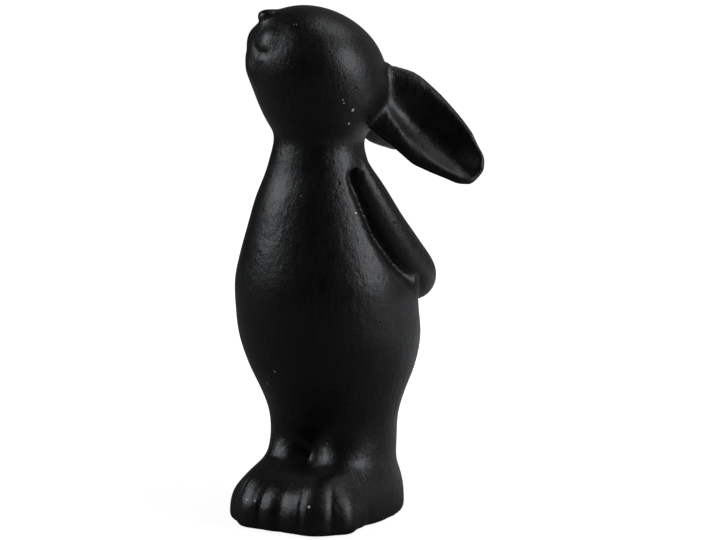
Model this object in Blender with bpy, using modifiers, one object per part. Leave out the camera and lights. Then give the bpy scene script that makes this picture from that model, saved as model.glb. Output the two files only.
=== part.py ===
"""Rabbit figurine, standing upright with its arms behind its back and its head tipped up.

A cold-cast resin figure, painted satin black, 215 mm tall. It is cast in pieces that are glued on
steel pins: a body with legs and feet round a core hole, a head on a spigot, two ears, two arms and
two bead eyes. A plug closes the core in the sole, and felt pads keep the feet off the shelf.

Lengths are in metres. The body faces -Y, its left side is at +X, and it stands on z = 0. It is
built round the middle between its ankles, then moved so that its extent in plan is centred.
"""

import math

import bmesh
import bpy
from mathutils import Matrix, Vector

MM = 0.001
GAP = 0.3 * MM
CUT_PAST = 5.0 * MM

# Felt pads, let into the sole.
PAD_RADIUS = 5.0 * MM
PAD_THICKNESS = 1.4 * MM
PAD_PROUD = 0.8 * MM
FRONT_PADS = (14.0 * MM, -30.0 * MM)
HEEL_PADS = (13.0 * MM, 15.0 * MM)
SOLE = PAD_PROUD

# The core that the body is poured round, open at the sole, and the plug that closes it.
CORE_RADIUS = 10.0 * MM
CORE_UNDER_NECK = 39.6 * MM
CORE_FORWARD = 8.0 * MM
PLUG_FLANGE = 2.2 * MM
PLUG_FLANGE_THICKNESS = 1.6 * MM
PLUG_LENGTH = 6.5 * MM
PLUG_CHAMFER = 0.8 * MM

# Neck joint: the crease under the head, and the head's spigot in the body's socket.
NECK_HEIGHT = 157.6 * MM
NECK_FORWARD = 12.0 * MM
NECK_RADIUS = 18.6 * MM
SPIGOT_RADIUS = 11.0 * MM
SPIGOT_LENGTH = 8.0 * MM
VENT_RADIUS = 4.0 * MM
VENT_LENGTH = 34.0 * MM

# Torso stations: share of the neck's height, half width, half depth, and how far it leans in front
# of the ankles.
TORSO = [
    (0.0, 20.0 * MM, 11.0 * MM, 0.0 * MM),
    (0.171, 23.0 * MM, 14.0 * MM, 0.0 * MM),
    (0.254, 26.7 * MM, 21.0 * MM, 0.3 * MM),
    (0.33, 31.0 * MM, 28.6 * MM, 0.8 * MM),
    (0.406, 35.7 * MM, 34.2 * MM, 1.6 * MM),
    (0.482, 38.7 * MM, 37.0 * MM, 3.2 * MM),
    (0.558, 38.9 * MM, 37.6 * MM, 5.2 * MM),
    (0.6345, 38.4 * MM, 37.0 * MM, 6.4 * MM),
    (0.7045, 35.4 * MM, 34.2 * MM, 7.8 * MM),
    (0.7805, 31.2 * MM, 30.2 * MM, 9.4 * MM),
    (0.8565, 27.0 * MM, 26.0 * MM, 10.8 * MM),
    (0.9325, 21.8 * MM, 21.0 * MM, 11.8 * MM),
    (1.0, NECK_RADIUS, NECK_RADIUS, NECK_FORWARD),
]

# Each leg is an upright oval column beside the middle plane, which fades into the torso.
LEG_SPREAD = 12.0 * MM
LEG_HALF_WIDTH = 14.6 * MM
LEG_HALF_DEPTH = 21.0 * MM
LEG_TOP = 64.0 * MM
LEG_FADE = 34.0 * MM
LEG_LEAST = 0.6

# Feet: an oval instep each, and three toes given by the angle out from straight ahead, the reach
# of the tip and the half width. All are measured in plan from the middle between the ankles.
INSTEP_HEIGHT = 25.0 * MM
INSTEP_FORWARD = 10.0 * MM
INSTEP_HALF_LENGTH = 36.4 * MM
INSTEP_HALF_WIDTH = 15.9 * MM
INSTEP_SPREAD = 13.4 * MM
INSTEP_SQUARENESS = 3.2
TOE_HEIGHT = 23.6 * MM
TOE_SQUARENESS = 3.2
TOE_SLENDERNESS = 1.6
TOES = [(5.6, 48.6 * MM, 5.6 * MM), (19.5, 50.0 * MM, 7.2 * MM), (33.0, 47.2 * MM, 7.0 * MM)]
SOLE_ROUND = 2.6 * MM
SOLE_TUCK = 0.018

# Rounding of the joins between those forms: a high power leaves a crease.
BODY_BLEND = 14.0
TOE_BLEND = 60.0

# Head, measured from its middle, which stands over the neck. The head is turned to its right.
HEAD_RISE = 30.8 * MM
HEAD_LEAN = 6.2 * MM
LEAN_START = -10.0 * MM
LEAN_POWER = 1.5
JAW_LEAN = 1.9 * MM
HEAD_TURN = -38.0
CRANIUM = (29.8 * MM, 28.8 * MM, 26.9 * MM)
JAW_DEPTH = 34.0 * MM
MUZZLE_PLACE = (0.0 * MM, -11.4 * MM, 14.2 * MM)
MUZZLE_RADIUS = 10.2 * MM
CHEEK_PLACE = (8.0 * MM, -17.6 * MM, 11.5 * MM)
CHEEK_RADIUS = 6.4 * MM
CHIN_PLACE = (0.0 * MM, -22.4 * MM, 0.5 * MM)
CHIN_RADIUS = 6.4 * MM
HEAD_BLEND = 24.0
NOSE_PLACE = (0.0 * MM, -23.6 * MM, 22.7 * MM)
NOSE_SIZE = (3.8 * MM, 2.4 * MM, 2.0 * MM)
MOUTH = [
    (0.0 * MM, -28.6 * MM, 12.4 * MM),
    (3.2 * MM, -27.9 * MM, 10.2 * MM),
    (7.5 * MM, -27.4 * MM, 8.7 * MM),
    (12.0 * MM, -26.2 * MM, 8.5 * MM),
    (15.5 * MM, -24.1 * MM, 9.6 * MM),
    (17.3 * MM, -21.9 * MM, 11.4 * MM),
]
MOUTH_GROOVE = 1.1 * MM

# Bead eyes.
EYE_AIM = (15.2, -12.2, 20.5)
EYE_RADIUS = 1.6 * MM
EYE_SINK = 0.5 * MM

# Ears, measured from the head's middle: the left ear's root and tip, and the way its scoop faces.
EAR_ROOT = (11.9 * MM, 17.2 * MM, -2.3 * MM)
EAR_TIP = (38.6 * MM, 53.8 * MM, -42.0 * MM)
RIGHT_EAR_TIP = (-38.6 * MM, 53.6 * MM, -34.6 * MM)
EAR_FACES = (0.88, -0.32, 0.42)
EAR_HALF_WIDTHS = [
    (0.0, 8.5 * MM),
    (0.083, 11.6 * MM),
    (0.22, 15.0 * MM),
    (0.404, 15.6 * MM),
    (0.587, 14.8 * MM),
    (0.771, 13.0 * MM),
    (0.881, 11.0 * MM),
    (0.954, 9.3 * MM),
    (1.0, 6.0 * MM),
]
EAR_BACK = 6.4 * MM
EAR_RIM = 1.6 * MM
EAR_RIM_WIDTH = 3.4 * MM
EAR_SCOOP = 5.2 * MM
EAR_THIN_UNDER = 9.0 * MM
EAR_SCOOP_LEAST = 0.2 * MM
EAR_SCOOP_SHARES = [(0.0, 0.0), (0.12, 0.1), (0.248, 0.5), (0.413, 0.92), (0.633, 1.0), (0.862, 0.75), (1.0, 0.2)]
EAR_BOW = 3.0 * MM
EAR_ARCH = 1.6 * MM

# Arms, on the body's left side: x and y, the drop under the neck, and the arm's radius there.
ARM_PATH = [
    (17.0 * MM, -9.0 * MM, 7.1 * MM, 4.6 * MM),
    (18.8 * MM, -6.0 * MM, 17.1 * MM, 7.4 * MM),
    (23.2 * MM, 2.2 * MM, 33.6 * MM, 8.8 * MM),
    (25.2 * MM, 11.4 * MM, 45.1 * MM, 9.5 * MM),
    (24.6 * MM, 24.0 * MM, 56.8 * MM, 10.0 * MM),
    (16.5 * MM, 33.5 * MM, 61.0 * MM, 8.6 * MM),
    (8.0 * MM, 37.8 * MM, 61.2 * MM, 6.8 * MM),
]
ARM_SUNK = 2.5 * MM

# The deep groove between the arm's front and the body, given in the same way.
ARM_GROOVE = [
    (20.0 * MM, -18.8 * MM, 7.6 * MM, 1.8 * MM),
    (22.4 * MM, -18.6 * MM, 14.2 * MM, 4.4 * MM),
    (25.2 * MM, -17.0 * MM, 20.8 * MM, 5.8 * MM),
    (28.6 * MM, -15.2 * MM, 27.8 * MM, 5.4 * MM),
    (32.6 * MM, -11.8 * MM, 37.2 * MM, 3.6 * MM),
    (36.2 * MM, -7.2 * MM, 46.8 * MM, 2.2 * MM),
    (38.2 * MM, -2.4 * MM, 55.6 * MM, 1.2 * MM),
]

# Steel wire pins.
EAR_PIN_RADIUS = 1.2 * MM
EAR_PIN_LENGTH = 12.0 * MM
EAR_PIN_AT = 0.16
EAR_PIN_DEPTH = 3.6 * MM
ARM_PIN_RADIUS = 1.5 * MM
ARM_PIN_LENGTH = 13.0 * MM
ARM_PIN_DROP = 18.6 * MM
ARM_PIN_PROUD = 2.5 * MM
PIN_CLEARANCE = 0.3 * MM

# How finely the castings are faceted.
FOOT_RINGS = (0, 0.05, 0.11, 0.3, 0.5, 0.66, 0.8, 0.9, 0.96, 0.99)
TORSO_RINGS = 15
FRONT_SEGMENTS = 40
BACK_SEGMENTS = 36
FRONT_HALF_ANGLE = 48.0
HEAD_SEGMENTS = 44
HEAD_RINGS = 22
EAR_SEGMENTS = 22
EAR_STEPS = 15
ARM_SEGMENTS = 14
ARM_STEPS = 14
ROUND_SEGMENTS = 28
PIN_SEGMENTS = 14
CROWN_CLOSE = 0.04

HEAD_MIDDLE = Vector((0, -NECK_FORWARD, NECK_HEIGHT + HEAD_RISE))
HEAD_POSE = Matrix.Translation(HEAD_MIDDLE) @ Matrix.Rotation(math.radians(HEAD_TURN), 4, "Z")


def smooth_between(rows, at):
    """Reads a table of stations on a smooth curve through them."""
    if at <= rows[0][0]:
        return rows[0][1:]
    if at >= rows[-1][0]:
        return rows[-1][1:]
    k = max(i for i in range(len(rows) - 1) if rows[i][0] <= at)
    before = rows[max(k - 1, 0)]
    after = rows[min(k + 2, len(rows) - 1)]
    low, high = rows[k], rows[k + 1]
    span = high[0] - low[0]
    t = (at - low[0]) / span
    values = []
    for i in range(1, len(low)):
        slope_low = (high[i] - before[i]) / (high[0] - before[0]) * span
        slope_high = (after[i] - low[i]) / (after[0] - low[0]) * span
        values.append(
            low[i] * (2 * t**3 - 3 * t**2 + 1)
            + slope_low * (t**3 - 2 * t**2 + t)
            + high[i] * (3 * t**2 - 2 * t**3)
            + slope_high * (t**3 - t**2)
        )
    return values


def reach(ray, centre, halves):
    """How far a unit ray from the origin goes to the far side of an oval, or 0 where it misses."""
    a = sum((d / h) ** 2 for d, h in zip(ray, halves))
    b = sum(d * c / (h * h) for d, c, h in zip(ray, centre, halves))
    under = b * b - a * (sum((c / h) ** 2 for c, h in zip(centre, halves)) - 1)
    if under <= 0:
        return 0.0
    return max((b + math.sqrt(under)) / a, 0.0)


def blended(reaches, power):
    """The longest of some reaches, rounded where two of them are nearly equal."""
    top = max(reaches)
    return top * sum((v / top) ** power for v in reaches) ** (1 / power)


def foot_scale(height, top, squareness):
    """Share of its plan size that a foot form keeps at a height: full low down, none at its top."""
    if height >= top:
        return 0.0
    share = (1 - (height / top) ** squareness) ** (1 / squareness)
    low = max(1 - height / SOLE_ROUND, 0.0)
    return share * (1 - SOLE_TUCK * low * low)


def body_reach(angle, height, grow):
    """Plan radius of the body at an angle out from straight ahead and a height over the sole."""
    ray = (math.sin(angle), -math.cos(angle))
    half_width, half_depth, forward = smooth_between(TORSO, height / NECK_HEIGHT)
    reaches = [reach(ray, (0, -forward), (half_width + grow, half_depth + grow))]
    if height >= LEG_TOP:
        return reaches[0]
    fade = min(max((LEG_TOP - height) / LEG_FADE, 0.0), 1.0)
    leg = LEG_LEAST + (1 - LEG_LEAST) * math.sin(fade * math.pi / 2)
    instep = foot_scale(height, INSTEP_HEIGHT, INSTEP_SQUARENESS)
    for side in (-1, 1):
        halves = (LEG_HALF_WIDTH * leg + grow, LEG_HALF_DEPTH * leg + grow)
        reaches.append(reach(ray, (side * LEG_SPREAD, 0), halves))
        if instep * INSTEP_HALF_WIDTH + grow > MM:
            halves = (INSTEP_HALF_WIDTH * instep + grow, INSTEP_HALF_LENGTH * instep + grow)
            reaches.append(reach(ray, (side * INSTEP_SPREAD, -INSTEP_FORWARD), halves))
    soft = blended(reaches, BODY_BLEND)
    toe = foot_scale(height, TOE_HEIGHT, TOE_SQUARENESS)
    if toe <= 0:
        return soft
    reaches = [soft]
    for side in (-1, 1):
        for out, tip, half in TOES:
            turn = math.radians(out) * side
            along = math.cos(angle - turn)
            across = math.sin(angle - turn)
            half_length = half * TOE_SLENDERNESS
            middle = tip - half_length
            halves = (half * toe + grow, half_length * toe + grow)
            reaches.append(reach((across, along), (0, middle * toe), halves))
    return blended(reaches, TOE_BLEND)


def body_angles():
    """Angles round the body, close together across the toes."""
    front = math.radians(FRONT_HALF_ANGLE)
    back = 2 * math.pi - front
    return steps(-front, front, FRONT_SEGMENTS) + steps(front, back, BACK_SEGMENTS)[1:-1]


def body_rows(heights, grow=0.0):
    rows = []
    for height in heights:
        row = []
        for angle in body_angles():
            r = body_reach(angle, height - SOLE, grow)
            row.append(Vector((r * math.sin(angle), -r * math.cos(angle), height)))
        rows.append(row)
    return rows


def steps(low, high, count):
    return [low + (high - low) * i / count for i in range(count + 1)]


def head_reach(ray, grow=0.0):
    """Radius of the head from its middle along a unit ray, in the head's own turned frame."""
    depth = CRANIUM[2] if ray[2] >= 0 else JAW_DEPTH
    cranium = reach(ray, (0, 0, 0), (CRANIUM[0] + grow, CRANIUM[1] + grow, depth + grow))
    reaches = [
        cranium,
        reach(ray, MUZZLE_PLACE, [MUZZLE_RADIUS + grow] * 3),
        reach(ray, CHIN_PLACE, [CHIN_RADIUS + grow] * 3),
    ]
    for side in (-1, 1):
        place = (side * CHEEK_PLACE[0], CHEEK_PLACE[1], CHEEK_PLACE[2])
        reaches.append(reach(ray, place, [CHEEK_RADIUS + grow] * 3))
    if ray[2] < 0:
        flat = math.hypot(ray[0], ray[1])
        reaches.append((NECK_RADIUS + grow) / max(flat, 0.3))
    return blended(reaches, HEAD_BLEND)


def head_point(ray, grow=0.0):
    """Where a unit ray from the head's middle meets its surface: the crown leans forward, the jaw back."""
    point = Vector(ray) * head_reach(ray, grow)
    if point.z > LEAN_START:
        point.y -= HEAD_LEAN * ((point.z - LEAN_START) / (CRANIUM[2] - LEAN_START)) ** LEAN_POWER
    if point.z < 0:
        point.y += JAW_LEAN * math.sin(math.pi * min(-point.z / HEAD_RISE, 1))
    return point


def head_rows(segments, rings, grow=0.0):
    """Rings of the head from the rim of its flat base up to its crown."""
    rows = []
    base = HEAD_RISE - GAP / 2
    rim = math.atan2(NECK_RADIUS + grow, base)
    for j in range(rings + 1):
        polar = rim + (math.pi - rim - CROWN_CLOSE) * j / rings
        row = []
        for i in range(segments):
            angle = 2 * math.pi * i / segments
            ray = (math.sin(polar) * math.sin(angle), -math.sin(polar) * math.cos(angle), -math.cos(polar))
            point = head_point(ray, grow)
            if j == 0:
                point = Vector((point.x, point.y, 0)).normalized() * (NECK_RADIUS + grow)
                point.z = -base
            point.z = max(point.z, -base)
            row.append(point)
        rows.append(row)
    return rows


def ear_frame(root, tip, faces):
    """The ear's own directions: along it, out of its scoop, and across it."""
    along = (Vector(tip) - Vector(root)).normalized()
    faces = Vector(faces)
    front = (faces - along * faces.dot(along)).normalized()
    return along, front, along.cross(front)


def ear_middle(root, tip, front, t):
    """The ear's centre line, bowed back and arched up between its ends."""
    rise = math.sin(math.pi * t)
    return Vector(root).lerp(Vector(tip), t) - front * EAR_BOW * rise + Vector((0, 0, EAR_ARCH * rise))


def ear_rows(root, tip, faces):
    """Cross-sections of an ear: a leaf with a rounded back, a raised rim and a scooped front."""
    along, front, across = ear_frame(root, tip, faces)
    rows = []
    half_turn = EAR_SEGMENTS // 2
    for j in range(EAR_STEPS + 1):
        t = j / EAR_STEPS
        half = smooth_between(EAR_HALF_WIDTHS, t)[0]
        thin = min(1.0, half / EAR_THIN_UNDER)
        middle = ear_middle(root, tip, front, t)
        hollow = EAR_SCOOP * smooth_between(EAR_SCOOP_SHARES, t)[0]
        scoop_half = max(half - EAR_RIM_WIDTH, EAR_SCOOP_LEAST)
        row = []
        for i in range(EAR_SEGMENTS):
            turn = math.pi * i / half_turn
            u = half * math.cos(turn)
            edge = math.sqrt(max(1 - (u / half) ** 2, 0))
            if i > half_turn:
                v = -EAR_BACK * thin * edge
            else:
                v = EAR_RIM * thin * edge**0.5
                inside = max(1 - (u / scoop_half) ** 2, 0)
                v -= hollow * thin * inside**1.3
            row.append(middle + across * u + front * v)
        rows.append(row)
    return rows


def limb_rows(points, segments, count, grow=0.0):
    """Round cross-sections along a smooth curve through points that carry a radius, with round ends."""
    table = [(float(i), *p) for i, p in enumerate(points)]
    last = len(points) - 1
    places = []
    for j in range(count + 1):
        x, y, z, radius = smooth_between(table, last * j / count)
        places.append((Vector((x, y, z)), radius + grow))
    rows = []
    side = None
    for j, (place, radius) in enumerate(places):
        ahead = places[min(j + 1, count)][0]
        behind = places[max(j - 1, 0)][0]
        along = (ahead - behind).normalized()
        if side is None:
            side = along.orthogonal().normalized()
        side = (side - along * side.dot(along)).normalized()
        other = along.cross(side)
        rings = [(0.0, 1.0)]
        if j == 0:
            rings = [(-math.cos(a), math.sin(a)) for a in (0.15, 0.55, 1.0, math.pi / 2)]
        if j == count:
            rings = [(math.cos(a), math.sin(a)) for a in (math.pi / 2, 1.0, 0.55, 0.15)]
        for lift, share in rings:
            centre = place + along * lift * radius
            row = []
            for i in range(segments):
                a = 2 * math.pi * i / segments
                row.append(centre + (side * math.cos(a) + other * math.sin(a)) * radius * share)
            rows.append(row)
    return rows


def skin(name, rows, pose=None):
    """A closed skin over rings of points, with a flat face at each end."""
    mesh = bpy.data.meshes.new(name)
    bm = bmesh.new()
    rings = [[bm.verts.new(p) for p in row] for row in rows]
    for low, high in zip(rings, rings[1:]):
        for i in range(len(low)):
            k = (i + 1) % len(low)
            bm.faces.new((low[i], low[k], high[k], high[i]))
    bm.faces.new(list(reversed(rings[0])))
    bm.faces.new(rings[-1])
    bmesh.ops.triangulate(bm, faces=bm.faces)
    bmesh.ops.recalc_face_normals(bm, faces=bm.faces)
    if pose is not None:
        bm.transform(pose)
    bm.to_mesh(mesh)
    bm.free()
    return bpy.data.objects.new(name, mesh)


def rod(name, start, end, radius, segments=ROUND_SEGMENTS):
    """A round bar between two points."""
    start, end = Vector(start), Vector(end)
    along = end - start
    mesh = bpy.data.meshes.new(name)
    bm = bmesh.new()
    bmesh.ops.create_cone(
        bm, cap_ends=True, segments=segments, radius1=radius, radius2=radius, depth=along.length
    )
    turn = Vector((0, 0, 1)).rotation_difference(along)
    bm.transform(Matrix.Translation((start + end) / 2) @ turn.to_matrix().to_4x4())
    bm.to_mesh(mesh)
    bm.free()
    return bpy.data.objects.new(name, mesh)


def ball(name, place, halves, pose=None, segments=14, rings=8):
    """An oval ball at a place, with its half sizes along x, y and z."""
    mesh = bpy.data.meshes.new(name)
    bm = bmesh.new()
    bmesh.ops.create_uvsphere(bm, u_segments=segments, v_segments=rings, radius=1)
    bm.transform(Matrix.Translation(place) @ Matrix.Diagonal((*halves, 1)))
    if pose is not None:
        bm.transform(pose)
    bm.to_mesh(mesh)
    bm.free()
    return bpy.data.objects.new(name, mesh)


class Bench:
    """Keeps the parts and the cutters in their collections and joins them with Booleans."""

    def __init__(self):
        for obj in list(bpy.data.objects):
            bpy.data.objects.remove(obj, do_unlink=True)
        self.root = bpy.data.objects.new("stand_point", None)
        bpy.context.scene.collection.objects.link(self.root)
        self.parts = bpy.data.collections.new("rabbit_figurine")
        self.cutters = bpy.data.collections.new("cutters")
        bpy.context.scene.collection.children.link(self.parts)
        bpy.context.scene.collection.children.link(self.cutters)

    def part(self, obj, material):
        self.parts.objects.link(obj)
        obj.parent = self.root
        obj.data.materials.append(material)
        return obj

    def cutter(self, obj):
        self.cutters.objects.link(obj)
        obj.parent = self.root
        obj.hide_render = True
        obj.display_type = "WIRE"
        return obj

    def boolean(self, obj, cutter, operation="DIFFERENCE"):
        if cutter.name not in self.cutters.objects:
            self.cutter(cutter)
        step = obj.modifiers.new(cutter.name, "BOOLEAN")
        step.operation = operation
        step.solver = "EXACT"
        step.object = cutter
        return obj

    def centre(self):
        """Moves the figure so that the middle of its extent in plan stands over the origin."""
        graph = bpy.context.evaluated_depsgraph_get()
        corners = []
        for obj in self.parts.objects:
            box = obj.evaluated_get(graph).bound_box
            corners += [obj.matrix_world @ Vector(corner) for corner in box]
        for i in (0, 1):
            places = [corner[i] for corner in corners]
            self.root.location[i] = -(min(places) + max(places)) / 2


def material(name, colour, roughness, metallic=0.0):
    made = bpy.data.materials.new(name)
    made.use_nodes = True
    shader = made.node_tree.nodes["Principled BSDF"]
    shader.inputs["Base Color"].default_value = (*colour, 1)
    shader.inputs["Roughness"].default_value = roughness
    shader.inputs["Metallic"].default_value = metallic
    return made


def body_heights():
    """Ring heights, close together where the instep rounds over."""
    foot = [SOLE + INSTEP_HEIGHT * share for share in FOOT_RINGS]
    return foot + steps(SOLE + INSTEP_HEIGHT + MM / 2, NECK_HEIGHT - GAP / 2, TORSO_RINGS)


def body_casting(bench, paint):
    body = bench.part(skin("body_casting", body_rows(body_heights())), paint)
    below = Vector((0, 0, -CUT_PAST))

    middle = Vector((0, -NECK_FORWARD, 0))
    floor = Vector((0, 0, NECK_HEIGHT - SPIGOT_LENGTH - 2 * GAP))
    above = Vector((0, 0, NECK_HEIGHT + CUT_PAST))
    bench.boolean(body, rod("neck_socket", middle + floor, middle + above, SPIGOT_RADIUS + GAP))

    core = Vector((0, -CORE_FORWARD, 0))
    top = Vector((0, 0, NECK_HEIGHT - CORE_UNDER_NECK))
    bench.boolean(body, rod("pour_core", core + below, core + top, CORE_RADIUS))
    rebate = Vector((0, 0, SOLE + PLUG_FLANGE_THICKNESS + 2 * GAP))
    rebate_radius = CORE_RADIUS + PLUG_FLANGE + GAP
    bench.boolean(body, rod("plug_rebate", core + below, core + rebate, rebate_radius))
    for name, (x, y) in pad_places():
        recess_top = (x, y, PAD_THICKNESS + GAP)
        recess = rod(name + "_recess", (x, y, -CUT_PAST), recess_top, PAD_RADIUS + GAP)
        bench.boolean(body, recess)
    return body


def pad_places():
    places = []
    for side, word in ((1, "left"), (-1, "right")):
        places.append((word + "_toe_pad", (side * FRONT_PADS[0], FRONT_PADS[1])))
        places.append((word + "_heel_pad", (side * HEEL_PADS[0], HEEL_PADS[1])))
    return places


def felt_pads(bench, felt):
    for name, (x, y) in pad_places():
        bench.part(rod(name, (x, y, 0), (x, y, PAD_THICKNESS), PAD_RADIUS), felt)


def base_plug(bench, rubber):
    """A turned stopper: a flange in the rebate and a tapered stem in the pour hole."""
    low = SOLE + GAP
    stem = CORE_RADIUS - GAP
    flange = CORE_RADIUS + PLUG_FLANGE
    under = low + PLUG_FLANGE_THICKNESS
    top = low + PLUG_LENGTH
    outline = [
        (0, top),
        (stem - PLUG_CHAMFER, top),
        (stem, top - PLUG_CHAMFER),
        (stem, under),
        (flange, under),
        (flange, low),
        (0, low),
    ]
    mesh = bpy.data.meshes.new("base_plug")
    mesh.from_pydata([(r, 0, z) for r, z in outline], [(i, i + 1) for i in range(len(outline) - 1)], [])
    plug = bench.part(bpy.data.objects.new("base_plug", mesh), rubber)
    plug.location = (0, -CORE_FORWARD, 0)
    turn = plug.modifiers.new("turn", "SCREW")
    turn.steps = turn.render_steps = ROUND_SEGMENTS
    turn.use_merge_vertices = True
    turn.merge_threshold = 0.00001
    return plug


def mouth_cutter():
    """A round groove along the smile, on the front of the muzzle."""
    left = [Vector(p) for p in MOUTH]
    right = [Vector(mirrored(p)) for p in reversed(MOUTH[1:])]
    points = []
    for point in right + left:
        aim = point.normalized()
        place = head_point(aim, MOUTH_GROOVE * 0.4)
        points.append((*place, MOUTH_GROOVE))
    return skin("mouth_groove", limb_rows(points, 8, 20), HEAD_POSE)


def eye_places():
    places = []
    for side, word in ((1, "left"), (-1, "right")):
        aim = Vector((side * EYE_AIM[0], EYE_AIM[1], EYE_AIM[2])).normalized()
        places.append((word + "_eye", head_point(aim, -EYE_SINK)))
    return places


def head_casting(bench, paint):
    head = bench.part(skin("head_casting", head_rows(HEAD_SEGMENTS, HEAD_RINGS), HEAD_POSE), paint)
    bench.boolean(head, ball("nose", NOSE_PLACE, NOSE_SIZE, HEAD_POSE), "UNION")
    middle = Vector((0, -NECK_FORWARD, 0))
    low = Vector((0, 0, NECK_HEIGHT - SPIGOT_LENGTH))
    high = Vector((0, 0, NECK_HEIGHT + SPIGOT_LENGTH))
    bench.boolean(head, rod("neck_spigot", middle + low, middle + high, SPIGOT_RADIUS), "UNION")
    vent_end = low + Vector((0, 0, VENT_LENGTH))
    vent_start = low - Vector((0, 0, CUT_PAST))
    bench.boolean(head, rod("head_vent", middle + vent_start, middle + vent_end, VENT_RADIUS))
    bench.boolean(head, mouth_cutter())
    for name, place in eye_places():
        socket = ball(name + "_socket", place, [EYE_RADIUS + GAP] * 3, HEAD_POSE, 12, 8)
        bench.boolean(head, socket)
    return head


def bead_eyes(bench, gloss):
    for name, place in eye_places():
        bench.part(ball(name, place, [EYE_RADIUS] * 3, HEAD_POSE, 12, 8), gloss)


def mirrored(vector):
    return (-vector[0], vector[1], vector[2])


def ears(bench, head, paint, steel):
    """Each ear is trimmed to the head's surface and pinned through its root."""
    seat = bench.cutter(skin("ear_seat", head_rows(HEAD_SEGMENTS, HEAD_RINGS, GAP), HEAD_POSE))
    rows = (
        ("left", EAR_ROOT, EAR_TIP, EAR_FACES),
        ("right", mirrored(EAR_ROOT), RIGHT_EAR_TIP, mirrored(EAR_FACES)),
    )
    for word, root, tip, faces in rows:
        ear = skin(word + "_ear", ear_rows(root, tip, faces), HEAD_POSE)
        bench.part(ear, paint)
        bench.boolean(ear, seat)
        along, front, across = ear_frame(root, tip, faces)
        centre = ear_middle(root, tip, front, EAR_PIN_AT) - front * EAR_PIN_DEPTH
        start = HEAD_POSE @ (centre - along * EAR_PIN_LENGTH / 2)
        end = HEAD_POSE @ (centre + along * EAR_PIN_LENGTH / 2)
        bench.part(rod(word + "_ear_pin", start, end, EAR_PIN_RADIUS, PIN_SEGMENTS), steel)
        past = (end - start).normalized() * 2 * GAP
        hole_radius = EAR_PIN_RADIUS + PIN_CLEARANCE
        hole = rod(word + "_ear_pin_hole", start - past, end + past, hole_radius, PIN_SEGMENTS)
        bench.boolean(ear, hole)
        bench.boolean(head, hole)


def on_side(side, path):
    """Points of an arm's path on the left (1) or the right (-1), with their height over the shelf."""
    return [(side * x, y, NECK_HEIGHT - drop, radius) for x, y, drop, radius in path]


def arms(bench, body, paint, steel):
    """Each arm is let into the body's side by ARM_SUNK and pinned at the shoulder."""
    heights = [h for h in body_heights() if h > LEG_TOP] + [NECK_HEIGHT + 2 * CUT_PAST]
    floor = bench.cutter(skin("arm_recess_floor", body_rows(heights, -ARM_SUNK)))
    seat = bench.cutter(skin("arm_seat", body_rows(heights, GAP - ARM_SUNK)))
    for word, side in (("left", 1), ("right", -1)):
        path = on_side(side, ARM_PATH)
        arm = bench.part(skin(word + "_arm", limb_rows(path, ARM_SEGMENTS, ARM_STEPS)), paint)
        bench.boolean(arm, seat)
        recess = bench.cutter(skin(word + "_arm_recess", limb_rows(path, ARM_SEGMENTS, ARM_STEPS, GAP)))
        bench.boolean(recess, floor)
        bench.boolean(body, recess)
        groove_path = on_side(side, ARM_GROOVE)
        groove = bench.cutter(skin(word + "_arm_groove", limb_rows(groove_path, ARM_SEGMENTS, ARM_STEPS)))
        bench.boolean(arm, groove)
        bench.boolean(body, groove)
        x, y = ARM_PATH[1][:2]
        height = NECK_HEIGHT - ARM_PIN_DROP
        outer = Vector((side * (x + ARM_PIN_PROUD), y, height))
        inner = Vector((side * (x + ARM_PIN_PROUD - ARM_PIN_LENGTH), y, height))
        bench.part(rod(word + "_arm_pin", inner, outer, ARM_PIN_RADIUS, PIN_SEGMENTS), steel)
        past = (outer - inner).normalized() * 2 * GAP
        hole_radius = ARM_PIN_RADIUS + PIN_CLEARANCE
        hole = rod(word + "_arm_pin_hole", inner - past, outer + past, hole_radius, PIN_SEGMENTS)
        bench.boolean(arm, hole)
        bench.boolean(body, hole)


def main():
    bench = Bench()
    paint = material("satin_black_paint", (0.018, 0.019, 0.021), 0.45)
    steel = material("steel_wire", (0.55, 0.56, 0.58), 0.35, 1.0)
    felt = material("black_felt", (0.02, 0.02, 0.02), 0.95)
    rubber = material("plug_rubber", (0.06, 0.06, 0.06), 0.7)
    gloss = material("bead_gloss_black", (0.01, 0.01, 0.012), 0.12)

    body = body_casting(bench, paint)
    head = head_casting(bench, paint)
    arms(bench, body, paint, steel)
    ears(bench, head, paint, steel)
    bead_eyes(bench, gloss)
    base_plug(bench, rubber)
    felt_pads(bench, felt)
    bench.centre()


main()
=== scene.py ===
import math

import bmesh
import bpy
import numpy as np
from mathutils import Matrix, Vector


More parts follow.
